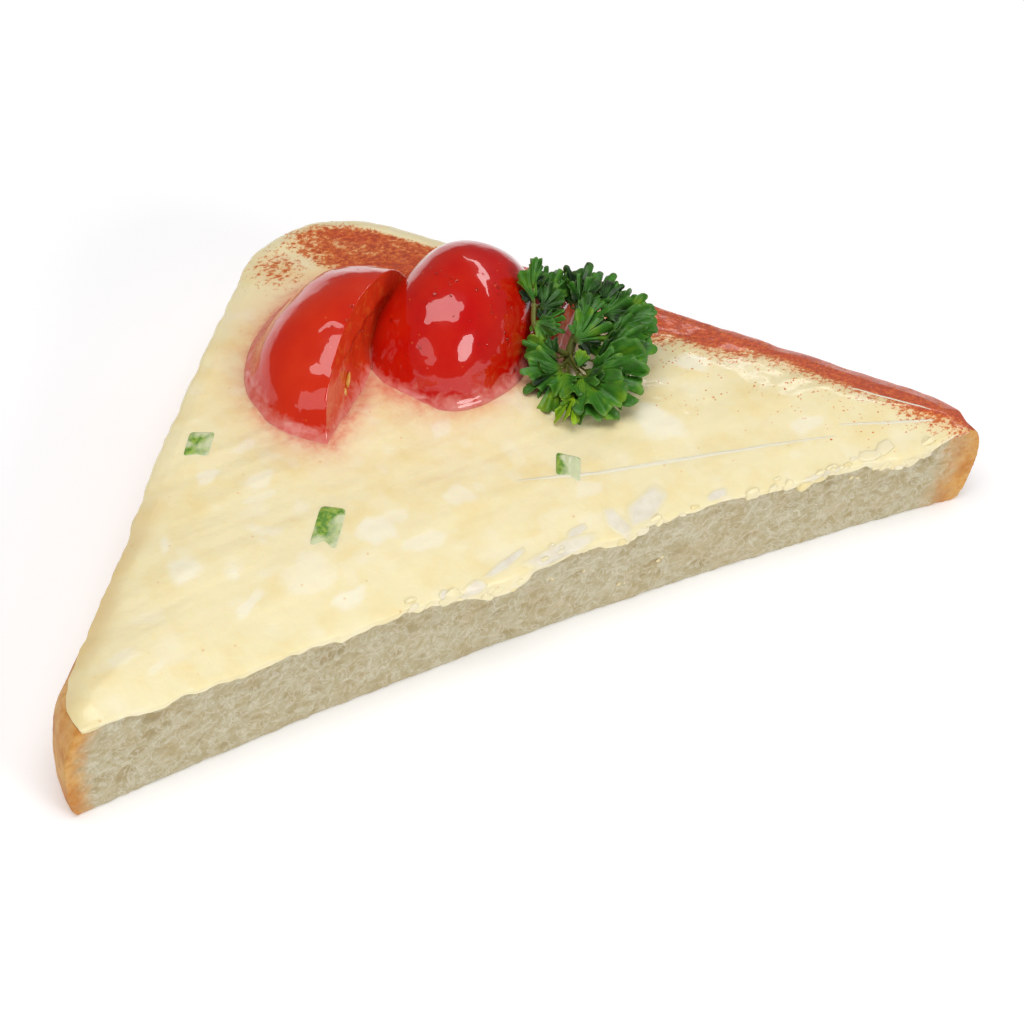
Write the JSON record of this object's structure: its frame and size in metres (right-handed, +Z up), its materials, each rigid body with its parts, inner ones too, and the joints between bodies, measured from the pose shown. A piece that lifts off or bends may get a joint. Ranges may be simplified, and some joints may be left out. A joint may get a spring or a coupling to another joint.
{
  "type": "open egg salad toast triangle",
  "caption": "Open half slice of white toast cut corner to corner, spread with glazed egg salad and topped with cherry tomato wedges, parsley, chives and paprika.",
  "frame": {"origin": "middle of the bounding box, on the flat underside of the bread", "axes": "+X along the diagonal cut towards the thinner right tip, +Y from the cut towards the slice's right-angled corner, +Z up"},
  "size_m": [0.1306, 0.0662, 0.0303],
  "materials": {
    "toast_bread": "open dry bread crumb with an orange-brown baked crust",
    "egg_salad": "creamy pale yellow egg salad under a clear wet glaze",
    "tomato": "glossy wet red tomato skin with fine yellow dots",
    "parsley": "satin curled green leaf",
    "chive": "satin cut chive under glaze",
    "paprika": "brick-red ground paprika, moist",
    "glaze": "clear soft aspic glaze"
  },
  "bodies": {
    "root": {"bread": "toast_bread", "egg_salad": "egg_salad", "tomato_left": "tomato", "tomato_middle": "tomato", "tomato_back": "tomato", "parsley_sprig": "parsley"}
  },
  "joints": []
}
